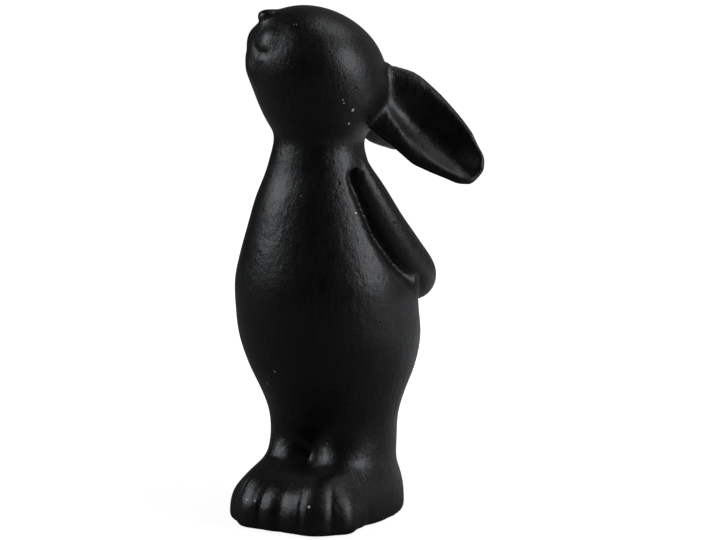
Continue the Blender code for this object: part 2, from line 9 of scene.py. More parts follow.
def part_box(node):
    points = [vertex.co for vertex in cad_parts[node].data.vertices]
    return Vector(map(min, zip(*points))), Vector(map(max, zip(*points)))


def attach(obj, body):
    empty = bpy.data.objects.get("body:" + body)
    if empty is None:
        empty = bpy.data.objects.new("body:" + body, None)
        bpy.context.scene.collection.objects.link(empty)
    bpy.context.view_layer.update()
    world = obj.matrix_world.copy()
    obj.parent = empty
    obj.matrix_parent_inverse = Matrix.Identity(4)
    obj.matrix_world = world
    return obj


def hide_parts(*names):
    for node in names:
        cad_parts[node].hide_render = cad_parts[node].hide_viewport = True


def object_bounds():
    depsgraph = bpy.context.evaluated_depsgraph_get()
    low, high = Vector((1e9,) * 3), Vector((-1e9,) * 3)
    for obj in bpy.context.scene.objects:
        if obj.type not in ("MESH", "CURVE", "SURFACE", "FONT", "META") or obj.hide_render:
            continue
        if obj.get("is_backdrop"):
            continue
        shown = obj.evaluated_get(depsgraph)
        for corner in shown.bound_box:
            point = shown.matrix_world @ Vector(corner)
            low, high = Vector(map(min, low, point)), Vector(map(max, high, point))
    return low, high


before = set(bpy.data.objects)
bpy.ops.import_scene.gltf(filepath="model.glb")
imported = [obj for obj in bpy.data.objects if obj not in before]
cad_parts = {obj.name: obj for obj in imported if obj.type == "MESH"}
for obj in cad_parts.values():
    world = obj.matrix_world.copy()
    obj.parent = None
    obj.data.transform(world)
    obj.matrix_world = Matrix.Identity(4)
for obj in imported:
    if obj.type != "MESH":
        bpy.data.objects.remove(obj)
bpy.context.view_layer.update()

MM = 0.001


# The photograph's place: a white sweep under the figure, a soft box to the left of the camera, a second
# one to its right, and a small one over the figure. The camera looks down on the figure's left front by
# nine degrees, and the room is lightest to the right, behind the figure.
CAMERA_PLACE = (0.546410, -0.916620, 0.273084)
RIGHT = Vector((0.857167, 0.515038, 0.0))
UP = Vector((-0.080570, 0.134090, 0.987689))
BACK = Vector((0.508697, -0.846614, 0.156434))
LENS = 129.525
SENSOR = 36.0
LAMPS_AIM = Vector((0, 0, 0.11))
# Each lamp: how far to the right of the aim, above it and nearer the camera, its width, height, power, tint.
LAMPS = {
    "left_soft_box": (-1.0, 0.54, 0.12, 0.7, 0.8, 6.2, (0.94, 0.97, 1.0)),
    "right_soft_box": (0.84, 0.36, 0.48, 0.42, 0.8, 5.6, (0.95, 0.97, 1.0)),
    "top_soft_box": (0.40, 1.0, 0.0, 0.5, 0.5, 1.8, (0.96, 0.98, 1.0)),
}
LIT_SIDE = (RIGHT * 0.85 - BACK * 0.53).normalized()
WALL_DARK = 0.012
WALL_LIT = 0.2
SHELF_HALF = 4.0
# The shelf paper's colour is painted light and shade: light on the side where the room is lit, dark away
# from it.
PAPER_PAINTED_SHADE = 0.18
PAPER_PAINTED_LIGHT = 0.9
PAPER_TURNS = (-0.05, 0.3)
# Near the figure the floor's glow is dimmed, a painted shade round its feet.
GLOW_NEAR_PAINTED_SHADE = 0.93
GLOW_REACH = (0.05, 0.5)


def add_object(name, data):
    """A new object with this data, in the scene."""
    made = bpy.data.objects.new(name, data)
    bpy.context.scene.collection.objects.link(made)
    return made


def remap(tree, value, low, high, to_low=0.0, to_high=1.0, smooth=False):
    """The output of a Map Range node over a socket."""
    node = tree.nodes.new("ShaderNodeMapRange")
    node.interpolation_type = "SMOOTHSTEP" if smooth else "LINEAR"
    for name, number in (("From Min", low), ("From Max", high), ("To Min", to_low), ("To Max", to_high)):
        node.inputs[name].default_value = number
    tree.links.new(value, node.inputs["Value"])
    return node.outputs["Result"]


def vector_value(tree, operation, vector, other=None):
    """The number that a Vector Math node makes of a vector socket and a fixed vector."""
    node = tree.nodes.new("ShaderNodeVectorMath")
    node.operation = operation
    tree.links.new(vector, node.inputs[0])
    if other is not None:
        node.inputs[1].default_value = other
    return node.outputs["Value"]


def arithmetic(tree, operation, *terms):
    """The output of a Math node over numbers and sockets."""
    node = tree.nodes.new("ShaderNodeMath")
    node.operation = operation
    for socket, term in zip(node.inputs, terms):
        if isinstance(term, float):
            socket.default_value = term
        else:
            tree.links.new(term, socket)
    return node.outputs[0]


camera = add_object("camera", bpy.data.cameras.new("camera"))
turned = Matrix((RIGHT, UP, BACK)).transposed().to_4x4()
camera.matrix_world = Matrix.Translation(CAMERA_PLACE) @ turned
camera.data.sensor_width = SENSOR
camera.data.lens = LENS
camera.data.clip_start = 0.01
bpy.context.scene.camera = camera
bpy.context.scene.view_settings.view_transform = "Standard"

for name, (right, up, back, width, height, watts, tint) in LAMPS.items():
    place = LAMPS_AIM + RIGHT * right + UP * up + BACK * back
    lamp = add_object(name, bpy.data.lights.new(name, "AREA"))
    lamp.data.shape = "RECTANGLE"
    lamp.data.size = width
    lamp.data.size_y = height
    lamp.data.energy = watts
    lamp.data.color = tint
    lamp.location = place
    lamp.rotation_mode = "QUATERNION"
    lamp.rotation_quaternion = (LAMPS_AIM - place).to_track_quat("-Z", "Y")

world = bpy.data.worlds.new("white_sweep")
bpy.context.scene.world = world
world.use_nodes = True
air = world.node_tree
seen = air.nodes.new("ShaderNodeLightPath")
toward = air.nodes.new("ShaderNodeTexCoord")
wall = vector_value(air, "DOT_PRODUCT", toward.outputs["Generated"], LIT_SIDE)
wall_light = remap(air, wall, 0.0, 1.0, WALL_DARK, WALL_LIT)
level = remap(air, seen.outputs["Is Camera Ray"], 0.0, 1.0)
air.links.new(wall_light, level.node.inputs["To Min"])
air.links.new(level, air.nodes["Background"].inputs["Strength"])
air.nodes["Background"].inputs["Color"].default_value = (1, 1, 1, 1)

floor_mesh = bpy.data.meshes.new("shelf")
corners = [(x * SHELF_HALF, y * SHELF_HALF, 0) for x, y in ((-1, -1), (1, -1), (1, 1), (-1, 1))]
floor_mesh.from_pydata(corners, [], [(0, 1, 2, 3)])
shelf = add_object("shelf", floor_mesh)
shelf_paper = bpy.data.materials.new("shelf_paper")
shelf_paper.use_nodes = True
tree = shelf_paper.node_tree
tree.nodes.clear()
out = tree.nodes.new("ShaderNodeOutputMaterial")
both = tree.nodes.new("ShaderNodeAddShader")
paper = tree.nodes.new("ShaderNodeBsdfDiffuse")
glow = tree.nodes.new("ShaderNodeEmission")
seen = tree.nodes.new("ShaderNodeLightPath")
ground = tree.nodes.new("ShaderNodeTexCoord")
# Painted light and shade on the paper: its colour is lighter towards the room's lit side and darker away
# from it.
toward_lit_side = vector_value(tree, "DOT_PRODUCT", ground.outputs["Object"], LIT_SIDE)
away = vector_value(tree, "LENGTH", ground.outputs["Object"])
tree.links.new(remap(tree, toward_lit_side, *PAPER_TURNS, PAPER_PAINTED_SHADE, PAPER_PAINTED_LIGHT, smooth=True), paper.inputs["Color"])
# The glow is dimmed close to the figure: painted shade round its feet.
lift = remap(tree, away, *GLOW_REACH, GLOW_NEAR_PAINTED_SHADE, 1.0, smooth=True)
tree.links.new(arithmetic(tree, "MULTIPLY", lift, seen.outputs["Is Camera Ray"]), glow.inputs["Strength"])
tree.links.new(paper.outputs[0], both.inputs[0])
tree.links.new(glow.outputs[0], both.inputs[1])
tree.links.new(both.outputs[0], out.inputs["Surface"])
shelf.data.materials.append(shelf_paper)
shelf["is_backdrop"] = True


# The body, cast in stone-filled resin with its legs and feet: a pear-shaped trunk that leans a little
# forward, two columns that grow out of it, and two feet with three toes each. The sole is flat, with
# a rebate for the plug. Sizes are in millimetres round an upright line through the sole's middle.
MIDDLE = Vector((-13.70, -4.336, 0.0)) * MM
SOLE = 0.8 * MM
NECK_HEIGHT = 157.6 * MM
NECK_FORWARD = 12.0 * MM
NECK_RADIUS = 18.6 * MM
SIDES = (-1, 1)
# Each row: the share of the neck's height, half the trunk's width and depth there, how far forward it lies.
TRUNK = np.array(
    [
        (0.0, 20.0, 11.0, 0.0),
        (0.171, 23.0, 15.6, 0.0),
        (0.254, 26.9, 22.4, 0.3),
        (0.33, 31.0, 28.6, 0.8),
        (0.406, 35.7, 34.2, 1.6),
        (0.482, 38.6, 37.0, 3.2),
        (0.558, 38.75, 37.6, 5.2),
        (0.6345, 38.4, 37.0, 6.4),
        (0.7045, 35.4, 34.2, 7.8),
        (0.7805, 31.2, 30.2, 9.4),
        (0.8565, 27.0, 26.0, 10.8),
        (0.9325, 21.8, 21.0, 11.8),
        (1.0, 18.6, 18.6, 12.0),
    ]
)
LEG = {"spread": 11.4, "half_width": 15.2, "half_depth": 21.0, "top": 64.0, "fade": 34.0, "least": 0.6}
FLARE = {"top": 36.0, "foot": 23.0, "deeper": 3.0, "forward": 2.5}
INSTEP = {"height": 25.0, "forward": 10.0, "half_length": 36.4, "half_width": 15.9, "spread": 13.4}
INSTEP_SQUARENESS = 3.0
# Each toe, and the pad beside the outer one: its turn from straight ahead, its reach and its half width.
TOES = (
    (9.8, 48.4, 7.4),
    (21.5, 49.6, 8.4),
    (32.4, 47.4, 9.4),
    (46.0, 39.8, 4.6),
    (-3.8, 48.4, 7.4),
    (-17.0, 49.8, 8.6),
    (-32.4, 47.4, 9.4),
    (-46.0, 39.8, 4.6),
)
TOE_HEIGHT = 23.6
TOE_SQUARENESS = 3.1
TOE_SLENDERNESS = 0.75
# The form that closes the gaps between the toes from above: low down it keeps a little less of its size.
TOE_CAP = {"half_length": 37.9, "half_width": 16.6, "from": 12.0, "to": 20.0, "low": 0.9, "gain": 0.1}
SOLE_ROUND = 2.6
SOLE_TUCK = 0.018
BODY_BLEND = 14
TOE_BLEND = 38
NO_LESS = 0.001
FRONT_TURN = 48
FRONT_COUNT = 121
BACK_COUNT = 133
FOOT_RINGS = 34
TRUNK_RINGS = 126
FOOT_CROWDING = 1.6
TRUNK_SPAN = (25.5, 156.9)
REBATE = {"radius": 12.8, "depth": 7.6, "forward": 8.0}


def read_stations(stations, at):
    """Values between the stations of a table, on a smooth curve through them."""
    places = stations[:, 0]
    k = np.clip(np.searchsorted(places, at, "right") - 1, 0, len(places) - 2)
    before = stations[np.maximum(k - 1, 0)]
    low, high = stations[k], stations[k + 1]
    after = stations[np.minimum(k + 2, len(places) - 1)]
    span = (high[:, 0] - low[:, 0])[:, None]
    t = np.clip((at[:, None] - low[:, :1]) / span, 0, 1)
    slope_low = (high - before) / (high[:, :1] - before[:, :1]) * span
    slope_high = (after - low) / (after[:, :1] - low[:, :1]) * span
    curve = low * (2 * t**3 - 3 * t**2 + 1) + slope_low * (t**3 - 2 * t**2 + t)
    return (curve + high * (3 * t**2 - 2 * t**3) + slope_high * (t**3 - t**2))[:, 1:]


def reach(rays, centre, halves):
    """How far each ray from the origin goes to the far side of an oval, and 0 where it misses."""
    a = sum((d / h) ** 2 for d, h in zip(rays, halves))
    b = sum(d * c / (h * h) for d, c, h in zip(rays, centre, halves))
    under = b * b - a * (sum((c / h) ** 2 for c, h in zip(centre, halves)) - 1)
    return np.where(under > 0, np.maximum((b + np.sqrt(np.maximum(under, 0))) / a, 0), 0)


def melted(reaches, power):
    """The longest of some reaches, rounded where two of them are nearly equal."""
    top = np.maximum.reduce(reaches)
    return top * sum((r / top) ** power for r in reaches) ** (1 / power)


def foot_share(height, top, squareness):
    """How much of its plan size a foot's form keeps at a height, with a small round at the sole."""
    share = (1 - np.clip(height / top, 0, 1) ** squareness) ** (1 / squareness)
    low = np.maximum(1 - height / SOLE_ROUND, 0)
    return np.maximum(share * (1 - SOLE_TUCK * low * low), NO_LESS)


def body_radius(turn, height):
    """The body's radius in mm at a turn out from straight ahead and a height over the sole."""
    ray = (np.sin(turn), -np.cos(turn))
    half_width, half_depth, forward = read_stations(TRUNK, height[:, 0] * MM / NECK_HEIGHT).T[:, :, None]
    trunk = reach(ray, (0, -forward), (half_width, half_depth))
    fade = np.clip((LEG["top"] - height) / LEG["fade"], 0, 1)
    leg = LEG["least"] + (1 - LEG["least"]) * np.sin(fade * math.pi / 2)
    flare = np.clip((FLARE["top"] - height) / (FLARE["top"] - FLARE["foot"]), 0, 1) ** 2
    instep = foot_share(height, INSTEP["height"], INSTEP_SQUARENESS)
    toe = foot_share(height, TOE_HEIGHT, TOE_SQUARENESS)
    rise = np.clip((height - TOE_CAP["from"]) / (TOE_CAP["to"] - TOE_CAP["from"]), 0, 1)
    cap = toe * (TOE_CAP["low"] + TOE_CAP["gain"] * rise * rise * (3 - 2 * rise))
    forms = [trunk]
    for side in SIDES:
        halves = (LEG["half_width"] * leg, LEG["half_depth"] * leg + FLARE["deeper"] * flare)
        forms.append(reach(ray, (side * LEG["spread"], -FLARE["forward"] * flare), halves))
        halves = (INSTEP["half_width"] * instep, INSTEP["half_length"] * instep)
        forms.append(reach(ray, (side * INSTEP["spread"], -INSTEP["forward"]), halves))
    forms = [np.where(height >= LEG["top"], trunk, melted(forms, BODY_BLEND))]
    for side in SIDES:
        halves = (TOE_CAP["half_width"] * cap, TOE_CAP["half_length"] * cap)
        forms.append(reach(ray, (side * INSTEP["spread"], -INSTEP["forward"]), halves))
    for out_turn, tip, half in TOES:
        off = turn - math.radians(out_turn)
        half_length = half * TOE_SLENDERNESS
        halves = (half * toe, half_length * toe)
        forms.append(reach((np.sin(off), np.cos(off)), (0, (tip - half_length) * toe), halves))
    return melted(forms, TOE_BLEND)


def closed_skin(name, rings):
    """A closed mesh object over rings of points (ring, point, xyz), in metres."""
    count, around = rings.shape[:2]
    corners = np.arange(count * around).reshape(count, around)
    across = np.roll(corners, -1, axis=1)
    walls = np.stack([corners[:-1], across[:-1], across[1:], corners[1:]], axis=-1).reshape(-1, 4)
    caps = [corners[0][::-1].tolist(), corners[-1].tolist()]
    mesh = bpy.data.meshes.new(name)
    mesh.from_pydata(rings.reshape(-1, 3), [], [*walls.tolist(), *caps])
    bm = bmesh.new()
    bm.from_mesh(mesh)
    bmesh.ops.triangulate(bm, faces=[f for f in bm.faces if len(f.verts) > 4])
    bmesh.ops.recalc_face_normals(bm, faces=bm.faces)
    bm.to_mesh(mesh)
    bm.free()
    return add_object(name, mesh)


front = np.radians(np.linspace(-FRONT_TURN, FRONT_TURN, FRONT_COUNT))
back = np.radians(np.linspace(FRONT_TURN, 360 - FRONT_TURN, BACK_COUNT)[1:-1])
turns = np.concatenate([front, back])[None, :]
foot_heights = INSTEP["height"] * (1 - (1 - np.linspace(0, 1, FOOT_RINGS)) ** FOOT_CROWDING)
trunk_heights = np.linspace(*TRUNK_SPAN, TRUNK_RINGS)
heights = np.concatenate([foot_heights, trunk_heights])[:, None]
radius = body_radius(turns, heights)
lift = np.broadcast_to(heights, radius.shape)
rings = np.stack([radius * np.sin(turns), -radius * np.cos(turns), lift + SOLE / MM], axis=-1) * MM
body = closed_skin("body_form", rings)

bm = bmesh.new()
wide = REBATE["radius"] * MM
deep = REBATE["depth"] * MM
bmesh.ops.create_cone(bm, cap_ends=True, segments=64, radius1=wide, radius2=wide, depth=deep)
bm.transform(Matrix.Translation((0, -REBATE["forward"] * MM, 0)))
rebate_mesh = bpy.data.meshes.new("plug_rebate")
bm.to_mesh(rebate_mesh)
bm.free()
rebate = add_object("plug_rebate", rebate_mesh)


# The arms, cast apart, let into the body's sides and pinned there. They run down and back from the
# shoulders, bend at the elbow and meet behind the back. A deep hollow, cut out of the body beside each
# arm, sets it off from the chest.
ARM_AROUND = 48
ARM_RINGS = 70
CAP_START = 0.15
CAP_RINGS = 8
# Each row: x, y, the drop under the neck, the radius.
ARM = (
    (17.0, -9.0, 7.1, 4.6),
    (18.8, -6.0, 17.1, 7.4),
    (23.2, 2.2, 33.6, 8.8),
    (25.2, 11.4, 45.1, 9.5),
    (24.6, 24.0, 56.8, 10.0),
    (16.5, 33.5, 61.0, 8.6),
    (8.0, 37.8, 61.2, 6.8),
)
# Each row: the height, then x and y of the chest's edge, of the far edge beside the arm and of the bottom.
HOLLOW = (
    (149.4, 20.3, -17.5, 22.0, -13.0, 18.4, -14.6),
    (146.6, 19.8, -21.2, 24.0, -8.0, 14.8, -12.9),
    (141.0, 21.7, -21.8, 26.0, -5.0, 16.4, -13.0),
    (136.0, 24.0, -21.7, 28.0, -3.5, 17.7, -11.2),
    (128.4, 27.0, -21.0, 31.0, 0.0, 19.4, -8.3),
    (121.0, 30.0, -19.7, 34.0, 3.0, 20.2, -3.4),
    (113.0, 33.6, -16.3, 37.0, 9.0, 22.3, 2.5),
    (107.8, 35.8, -12.7, 38.0, 13.0, 24.6, 6.0),
    (103.2, 37.4, -9.0, 38.6, 15.0, 27.6, 7.6),
    (98.7, 38.3, -3.0, 38.5, 13.0, 32.5, 8.0),
    (94.0, 38.6, 2.0, 38.4, 12.0, 37.0, 8.0),
)
HOLLOW_RINGS = 60
PAST_SKIN = 0.6


def limb(name, side, path, around, count):
    """A round limb along a smooth curve through a path of x, y, drop under the neck and radius."""
    neck = NECK_HEIGHT / MM
    table = np.array([(i, side * x, y, neck - drop, r) for i, (x, y, drop, r) in enumerate(path)])
    line = read_stations(table, np.linspace(0, len(path) - 1, count))
    places, radii = line[:, :3], line[:, 3]
    ahead = np.gradient(places, axis=0)
    ahead /= np.linalg.norm(ahead, axis=1)[:, None]
    cap = np.linspace(CAP_START, math.pi / 2, CAP_RINGS)
    spots = [(0, -math.cos(a), math.sin(a)) for a in cap]
    spots += [(j, 0.0, 1.0) for j in range(1, count - 1)]
    spots += [(count - 1, math.cos(a), math.sin(a)) for a in cap[::-1]]
    aside = Vector(ahead[0]).orthogonal().normalized()
    turn = np.linspace(0, 2 * math.pi, around, endpoint=False)[:, None]
    rings = []
    for j, out_by, share in spots:
        along = Vector(ahead[j])
        aside = (aside - along * aside.dot(along)).normalized()
        other = along.cross(aside)
        centre = places[j] + ahead[j] * out_by * radii[j]
        rings.append(centre + (np.cos(turn) * aside + np.sin(turn) * other) * radii[j] * share)
    return closed_skin(name, np.array(rings) * MM)


def wedge(name, side):
    """The tool of a hollow: a three-cornered bar that stands past the skin, its bottom edge inside."""
    table = np.array([(i, *row) for i, row in enumerate(HOLLOW)], float)
    rows = read_stations(table, np.linspace(0, len(HOLLOW) - 1, HOLLOW_RINGS))
    high, bottom = rows[:, :1], rows[:, 5:7]
    edges = (rows[:, 1:3], rows[:, 3:5])
    corners = [bottom] + [edge + (edge - bottom) * PAST_SKIN for edge in edges]
    sides = [np.concatenate([corner * (side, 1), high], axis=1) for corner in corners]
    return closed_skin(name, np.stack(sides, axis=1) * MM)


def carve(obj, tool):
    """Cuts one closed mesh out of another, and keeps the result as the first one's mesh."""
    cut = obj.modifiers.new("cut", "BOOLEAN")
    cut.operation = "DIFFERENCE"
    cut.solver = "EXACT"
    cut.object = tool
    shape = bpy.data.meshes.new_from_object(obj.evaluated_get(bpy.context.evaluated_depsgraph_get()))
    obj.modifiers.clear()
    obj.data = shape


castings = [body]
tools = [rebate]
carve(body, rebate)
for word, side in (("left", 1), ("right", -1)):
    arm = limb(word + "_arm_form", side, ARM, ARM_AROUND, ARM_RINGS)
    hollow_tool = wedge(word + "_hollow_tool", side)
    carve(body, hollow_tool)
    castings.append(arm)
    tools.append(hollow_tool)


# The head, tipped up and turned to its right: a round skull, a muzzle with two cheek pads and a small
# chin, and a flat nose on the tip of the muzzle. It is cast apart and stands on the neck. Sizes are in
# millimetres from the skull's middle, in the head's own frame, where it looks along -y.
HEAD_RISE = 30.8
HEAD_TURN = math.radians(-38.0)
SKULL = (29.8, 28.8, 26.9)
JAW_DEPTH = 34.0
MUZZLE = ((0, -11.4, 14.2), 10.2)
CHIN = ((0, -22.4, 0.5), 6.4)
CHEEK = ((8.0, -17.6, 11.5), 6.4)
HEAD_BLEND = 24
HEAD_LEAN = 6.2
LEAN_START = 10.0
LEAN_CURVE = 1.5
JAW_LEAN = 1.9
NECK_LIP = 3
NECK_SPREAD = 0.3
CROWN_GAP = 0.02
HEAD_RINGS = 110
HEAD_AROUND = 168
NOSE = ((0.0, -19.7, 22.5), (4.3, 6.1, 3.0))
NOSE_SQUARENESS = 0.72
NOSE_RINGS = 24
NOSE_AROUND = 40
NOSE_GAP = 0.06
HEAD_MIDDLE = Vector((0, -NECK_FORWARD, NECK_HEIGHT + HEAD_RISE * MM))
HEAD_POSE = Matrix.Translation(HEAD_MIDDLE) @ Matrix.Rotation(HEAD_TURN, 4, "Z") @ Matrix.Scale(MM, 4)


def ball(rays, place, radius):
    """How far each ray from the origin goes to the far side of a ball."""
    return reach(rays, place, (radius,) * 3)


def head_points(rays):
    """Where unit rays from the head's middle meet its surface, in mm, in the head's own frame."""
    x, y, z = rays
    up_skull = reach(rays, (0, 0, 0), SKULL)
    jaw = reach(rays, (0, 0, 0), (SKULL[0], SKULL[1], JAW_DEPTH))
    forms = [np.where(z >= 0, up_skull, jaw), ball(rays, *MUZZLE), ball(rays, *CHIN)]
    (cheek_x, cheek_y, cheek_z), cheek_radius = CHEEK
    for side in SIDES:
        forms.append(ball(rays, (side * cheek_x, cheek_y, cheek_z), cheek_radius))
    forms.append(np.where(z < 0, NECK_RADIUS / MM / np.maximum(np.hypot(x, y), NECK_SPREAD), 0))
    far = melted(forms, HEAD_BLEND)
    x, y, z = x * far, y * far, z * far
    y = y - HEAD_LEAN * (np.maximum(z + LEAN_START, 0) / (SKULL[2] + LEAN_START)) ** LEAN_CURVE
    y = y + np.where(z < 0, JAW_LEAN * np.sin(math.pi * np.clip(-z / HEAD_RISE, 0, 1)), 0)
    return np.stack([x, y, z], axis=-1)


def posed(points):
    """Points of the head's own frame, in mm, as points of the figure in metres."""
    pose = np.array(HEAD_POSE)
    return points @ pose[:3, :3].T + pose[:3, 3]


def squared(share):
    """A sine or cosine made fuller, for a form with flatter sides than an oval's."""
    return np.sign(share) * np.abs(share) ** NOSE_SQUARENESS


neck_rim = math.atan2(NECK_RADIUS / MM, HEAD_RISE + NECK_LIP)
polar = np.linspace(neck_rim, math.pi - CROWN_GAP, HEAD_RINGS)[:, None]
turn = np.linspace(0, 2 * math.pi, HEAD_AROUND, endpoint=False)[None, :]
rays = (np.sin(polar) * np.sin(turn), -np.sin(polar) * np.cos(turn), -np.cos(polar) + 0 * turn)
rings = head_points(rays)
rings[:, :, 2] = np.maximum(rings[:, :, 2], -HEAD_RISE - NECK_LIP)
castings.append(closed_skin("head_form", posed(rings)))

polar = np.linspace(NOSE_GAP, math.pi - NOSE_GAP, NOSE_RINGS)[:, None]
turn = np.linspace(0, 2 * math.pi, NOSE_AROUND, endpoint=False)[None, :]
reaches = (
    squared(np.sin(polar)) * squared(np.sin(turn)),
    squared(np.sin(polar)) * squared(np.cos(turn)),
    squared(np.cos(polar)),
)
nose = [middle + half * share + 0 * turn for middle, half, share in zip(*NOSE, reaches)]
castings.append(closed_skin("nose_form", posed(np.stack(nose, axis=-1))))


# The ears, cast apart and pinned to the back of the head, hang out to the sides: each one is a leaf
# with a thick round back, a raised rim and a scooped front that looks forward and up. The scoop lies
# between a crest near the lower edge and the rim along the upper one.
EAR_ROOT = (11.9, 17.2, -2.3)
LEFT_EAR_TIP = (38.5, 53.7, -42.0)
RIGHT_EAR_TIP = (-38.6, 53.6, -34.6)
EAR_FACES = (0.88, -0.32, 0.42)
# Stations along the ear, as shares of its length: half its width, and the share of the scoop's depth.
EAR_WIDTHS = (
    (0, 8.5),
    (0.083, 11.6),
    (0.22, 15.0),
    (0.404, 15.6),
    (0.587, 14.8),
    (0.771, 13.0),
    (0.881, 11.0),
    (0.954, 9.3),
    (1, 6.0),
)
SCOOP_SHARES = (
    (0, 0.0),
    (0.12, 0.1),
    (0.248, 0.5),
    (0.413, 0.92),
    (0.633, 1.0),
    (0.79, 0.88),
    (0.91, 0.52),
    (1, 0.1),
)
# Straight-line stations: where the crests lie, as shares of the half width, and how the scoop leans.
LOW_CREST = ((0, 0.3, 0.5, 0.75, 1), (0.0, 0.38, 0.56, 0.68, 0.74))
TOP_CREST = ((0, 0.15, 0.4, 1), (0.56, 0.64, 0.8, 0.88))
SCOOP_LEAN = ((0, 0.35, 0.7, 1), (2.0, 1.6, 1.1, 1.0))
SCOOP_DEPTH = 5.2
SCOOP_ROUND = 1.15
EAR_RIM = 1.9
EAR_BACK = 6.4
EAR_THIN_UNDER = 9.0
EAR_BOW = 3.0
EAR_ARCH = 1.6
LOW_SIDE_CUT = {"share": 0.27, "from": 0.66, "over": 0.3}
EAR_RINGS = 72
EAR_AROUND = 96
# The rings that close the tip: the share of the last ring's size, and how far on each one lies.
EAR_END = ((0.93, 0.5), (0.75, 1.0), (0.45, 1.3), (0.12, 1.4))


def ear_form(name, low_side, root, tip, faces):
    """An ear from its root to its tip; low_side is 1 or -1, for the side where its lower edge lies."""
    root, tip, faces = (np.array(v, float) for v in (root, tip, faces))
    along = (tip - root) / np.linalg.norm(tip - root)
    out_of = faces - along * faces.dot(along)
    out_of /= np.linalg.norm(out_of)
    across = np.cross(along, out_of)
    t = np.linspace(0, 1, EAR_RINGS)
    half = read_stations(np.array(EAR_WIDTHS), t)
    hollow = SCOOP_DEPTH * read_stations(np.array(SCOOP_SHARES), t)
    lines = (LOW_CREST, TOP_CREST, SCOOP_LEAN)
    low_crest, top_crest, lean = (np.interp(t, *line)[:, None] for line in lines)
    t = t[:, None]
    thin = np.minimum(1, half / EAR_THIN_UNDER)
    rise = np.sin(math.pi * t)
    centre = root + t * (tip - root) - out_of * EAR_BOW * rise + np.array((0, 0, EAR_ARCH)) * rise
    turn = np.linspace(0, 2 * math.pi, EAR_AROUND, endpoint=False)[None, :]
    share = low_side * np.cos(turn)
    narrower = LOW_SIDE_CUT["share"] * np.clip((t - LOW_SIDE_CUT["from"]) / LOW_SIDE_CUT["over"], 0, 1)
    u = half * np.cos(turn) * np.where(share > 0, 1 - narrower, 1)
    past_low = (share - low_crest) / (1 - low_crest)
    past_top = (-share - top_crest) / (1 - top_crest)
    rim = EAR_RIM * np.sqrt(1 - np.clip(np.where(share > 0, past_low, past_top), 0, 1) ** 2)
    in_scoop = np.clip((share + top_crest) / (low_crest + top_crest), 0, 1)
    front_face = thin * (rim - hollow * np.sin(math.pi * in_scoop**lean) ** SCOOP_ROUND)
    v = np.where(np.sin(turn) >= 0, front_face, -EAR_BACK * thin * np.abs(np.sin(turn)))
    rings = centre[:, None, :] + across * u[:, :, None] + out_of * v[:, :, None]
    end = [centre[-1] + (rings[-1] - centre[-1]) * size + along * on_by for size, on_by in EAR_END]
    return closed_skin(name, posed(np.concatenate([rings, np.array(end)])))


for name, side, tip in (("left_ear_form", 1, LEFT_EAR_TIP), ("right_ear_form", -1, RIGHT_EAR_TIP)):
    mirror = np.array((side, 1, 1))
    castings.append(ear_form(name, side, EAR_ROOT * mirror, tip, EAR_FACES * mirror))


# Once glued, the castings are filled and rubbed down at their joints, so that they read as one form. The
# joined skin is made even and eased, most of all at its joints, the smile and the lines between the toes
# are pressed in, and it is parted again at the neck joint.
VOXEL = 0.8
EVENING_ROUNDS = 7
EVENING_STEP = 0.6
EASING_ROUNDS = 22
EASING_STEP = 0.8
LAST_ROUNDS = 3
LAST_STEP = 0.5
# Heights about which the skin is eased, and how far up and down that goes.
NECK_BAND = (157.6, 6)
ANKLE_BAND = (26, 14)
# Spots round which it is eased, and how far out that goes. The ear's and the cheek's are on the head.
SHOULDERS = ((22, 1, 150), (-22, 1, 150))
SHOULDER_REACH = 14
FOOT_SIDE = (29.5, -25.0)
FOOT_SIDE_HEIGHTS = (2, 10, 18)
FOOT_SIDE_REACH = 12
EAR_JOINT = (16.0, 22.0, -6.0)
EAR_JOINT_REACH = 17
EAR_JOINT_SHARE = 0.9
CHEEK_SIDE = (9.5, -23.0, 14.0)
CHEEK_SIDE_REACH = 10
CHEEK_SIDE_SHARE = 0.3
# The hollow's first rows are eased a little at the chest's edge, and its last ones there and at the bottom.
CRISP_ROWS = 8
CRISP_SHARE = 0.25
CRISP_REACH = 5
EDGE_REACH = 9
BOTTOM_REACH = 7
SMILE = np.array(
    [
        (-17.3, -21.9, 11.4),
        (-15.5, -24.1, 9.6),
        (-12.0, -26.2, 8.5),
        (-7.5, -27.4, 8.7),
        (-3.2, -27.9, 10.2),
        (0.0, -28.6, 12.4),
        (3.2, -27.9, 10.2),
        (7.5, -27.4, 8.7),
        (12.0, -26.2, 8.5),
        (15.5, -24.1, 9.6),
        (17.3, -21.9, 11.4),
    ]
)
# The smile's groove and the lip beside it, each with a depth and a width. Depth counts for less than the
# other two directions in the distance from the line, and the far half of the smile is the fainter one.
SMILE_GROOVE = (0.75, 1.4)
SMILE_LIP = (0.1, 1.4)
LIP_AWAY = 3.0
ACROSS_SMILE = (1, 0.55, 1)
FAR_HALF = 0.25
SMILE_FADES = (1.0, 14.5, 4.0)
# Each line between two toes: its turn from straight ahead in degrees, its width and its depth.
TOE_LINES = ((-24.0, 1.2, 0.55), (-8.7, 1.1, 0.6), (3.2, 3.0, 0.7), (14.8, 1.1, 0.6), (30.0, 1.4, 0.5))
# Where these lines fade in and out: a height or a distance, and the span that the change takes.
TOE_LINES_LOW = (1.0, 3.0)
TOE_LINES_HIGH = (24.0, -6.0)
TOE_LINES_OUT = (34.0, 6.0)
FACE_FRONT = -12
FEET_FRONT = -20


def joined(pieces, name):
    """One mesh object with the skins of several objects, which are then removed."""
    bm = bmesh.new()
    for piece in pieces:
        bm.from_mesh(piece.data)
        bpy.data.objects.remove(piece, do_unlink=True)
    mesh = bpy.data.meshes.new(name)
    bm.to_mesh(mesh)
    bm.free()
    return add_object(name, mesh)


